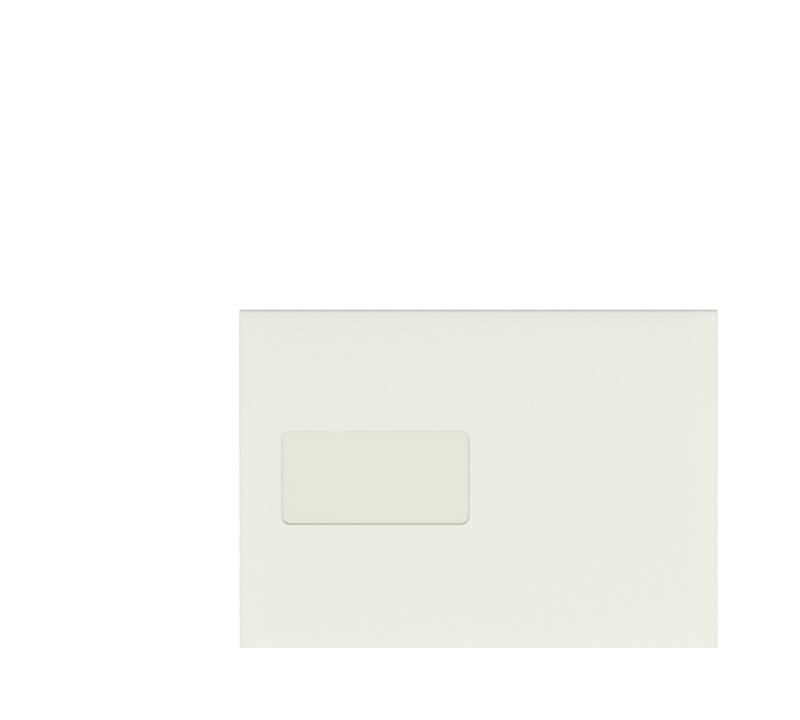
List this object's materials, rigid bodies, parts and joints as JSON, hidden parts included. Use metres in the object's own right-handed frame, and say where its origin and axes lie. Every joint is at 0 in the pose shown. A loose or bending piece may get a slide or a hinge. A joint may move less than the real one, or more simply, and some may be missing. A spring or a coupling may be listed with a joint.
{
  "type": "window envelope",
  "caption": "Pale paper envelope lying face up, with a clear film window in its front and a peel-and-seal closing flap folded down behind it.",
  "frame": {"origin": "under the middle of the envelope, on the surface that it lies on", "axes": "+X towards the front's right edge, +Y towards the closing fold, +Z out of the front face"},
  "size_m": [0.229, 0.162, 0.0012],
  "materials": {
    "paper": "uncoated white wove paper, matte, with a faint green-grey tint",
    "film": "clear glossy polystyrene window film, slightly rippled",
    "glue": "dried water-based envelope glue",
    "adhesive": "pressure-sensitive hot-melt adhesive, glossy",
    "release_paper": "siliconised release paper, satin"
  },
  "bodies": {
    "root": {"envelope_paper": "paper", "window_film": "film", "window_glue": "glue", "left_seam_glue": "glue", "right_seam_glue": "glue", "flap_adhesive": "adhesive", "release_strip": "release_paper"}
  },
  "joints": []
}
